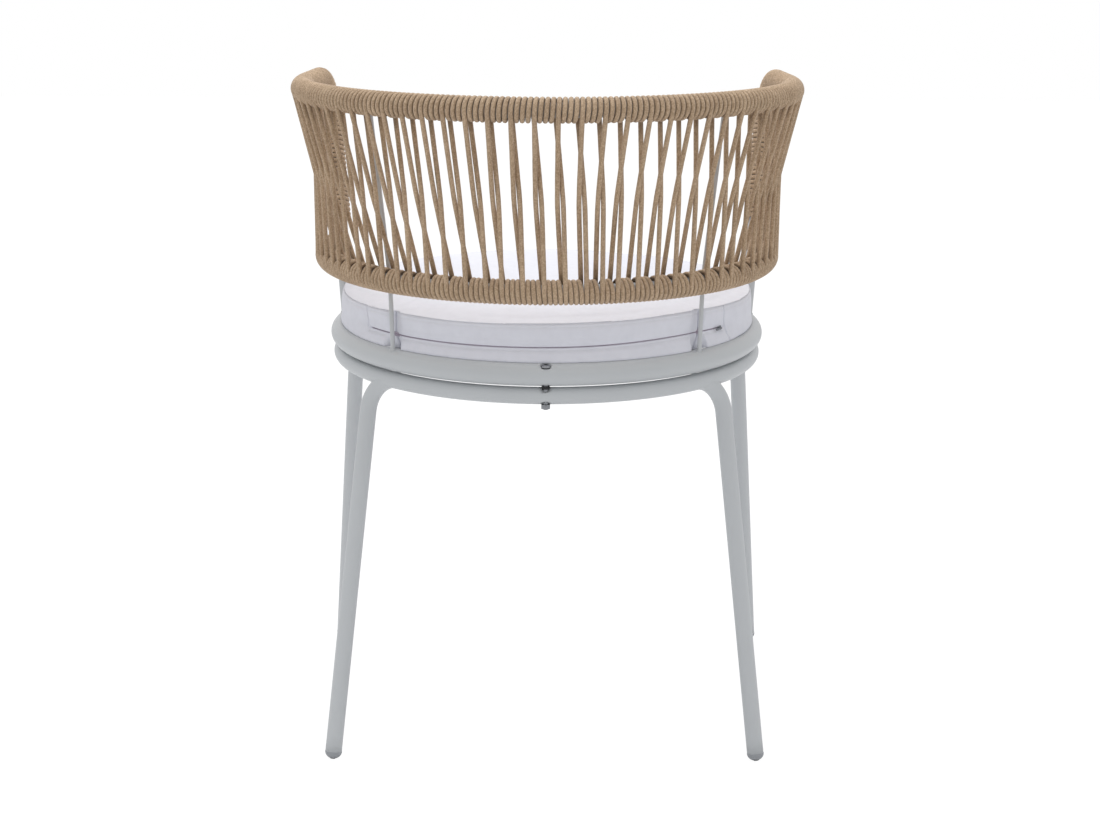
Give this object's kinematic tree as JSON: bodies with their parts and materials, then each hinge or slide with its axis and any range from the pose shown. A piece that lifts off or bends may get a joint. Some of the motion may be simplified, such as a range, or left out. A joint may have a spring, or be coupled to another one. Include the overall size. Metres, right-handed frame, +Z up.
{
  "type": "rope-backed patio armchair",
  "caption": "Round-seat patio armchair with a tube frame, a back and arms laced with rope, and a loose round box cushion with a zip.",
  "frame": {"origin": "on the floor, under the middle of the whole chair's width and depth", "axes": "+Z up, +Y towards the back, +X to the right of someone who looks along +Y"},
  "size_m": [0.5982, 0.5575, 0.7591],
  "materials": {
    "powder_coat": "satin powder coat",
    "cap_plastic": "matte",
    "zinc_steel": "zinc plated",
    "black_rubber": "matte",
    "braided_rope": "fine braid",
    "cushion_cloth": "plain weave",
    "zip_tape": "woven tape",
    "zip_metal": "dull"
  },
  "bodies": {
    "frame": {"seat_ring": "powder_coat", "leg_ring": "powder_coat", "rear_leg_left": "powder_coat", "rear_leg_right": "powder_coat", "front_leg_left": "powder_coat", "front_leg_right": "powder_coat", "rear_foot_cap_left": "cap_plastic", "rear_foot_cap_right": "cap_plastic", "front_foot_cap_left": "cap_plastic", "front_foot_cap_right": "cap_plastic", "ring_screw_1": "zinc_steel", "ring_screw_2": "zinc_steel", "ring_screw_3": "zinc_steel", "ring_spacer_1": "black_rubber", "ring_spacer_2": "black_rubber", "ring_spacer_3": "black_rubber", "ring_nut_1": "zinc_steel", "ring_nut_2": "zinc_steel", "ring_nut_3": "zinc_steel", "seat_slat_1": "powder_coat", "seat_slat_2": "powder_coat", "seat_slat_3": "powder_coat", "seat_slat_4": "powder_coat", "seat_slat_5": "powder_coat", "back_hoop": "powder_coat", "lower_rail": "powder_coat", "back_rod_left": "powder_coat", "back_rod_right": "powder_coat", "top_rail_wrap": "braided_rope", "lower_rail_wrap": "braided_rope", "post_wrap_left": "braided_rope", "post_wrap_right": "braided_rope", "arm_corner_wrap_left": "braided_rope", "arm_corner_wrap_right": "braided_rope", "back_lacing_1": "braided_rope", "back_lacing_2": "braided_rope", "back_lacing_3": "braided_rope", "back_lacing_4": "braided_rope", "back_lacing_5": "braided_rope", "back_lacing_6": "braided_rope", "back_lacing_7": "braided_rope", "back_lacing_8": "braided_rope"},
    "cushion_body": {"cushion": "cushion_cloth", "zip_tape": "zip_tape"},
    "slider_body": {"zip_slider": "zip_metal"},
    "pull_body": {"zip_pull": "zip_metal"}
  },
  "joints": [
    {"name": "cushion_lift", "type": "slide", "parent": "frame", "child": "cushion_body", "axis": [0, 0, 1], "range_m": [0, 0.1]},
    {"name": "zip_run", "type": "hinge", "parent": "cushion_body", "child": "slider_body", "pos_m": [0, -0.0203, 0.48609], "axis": [0, 0, 1], "range_deg": [-109, 0]},
    {"name": "pull_swing", "type": "hinge", "parent": "slider_body", "child": "pull_body", "pos_m": [-0.19886, 0.11935, 0.48609], "axis": [0, 0, 1], "range_deg": [0, 170]}
  ]
}
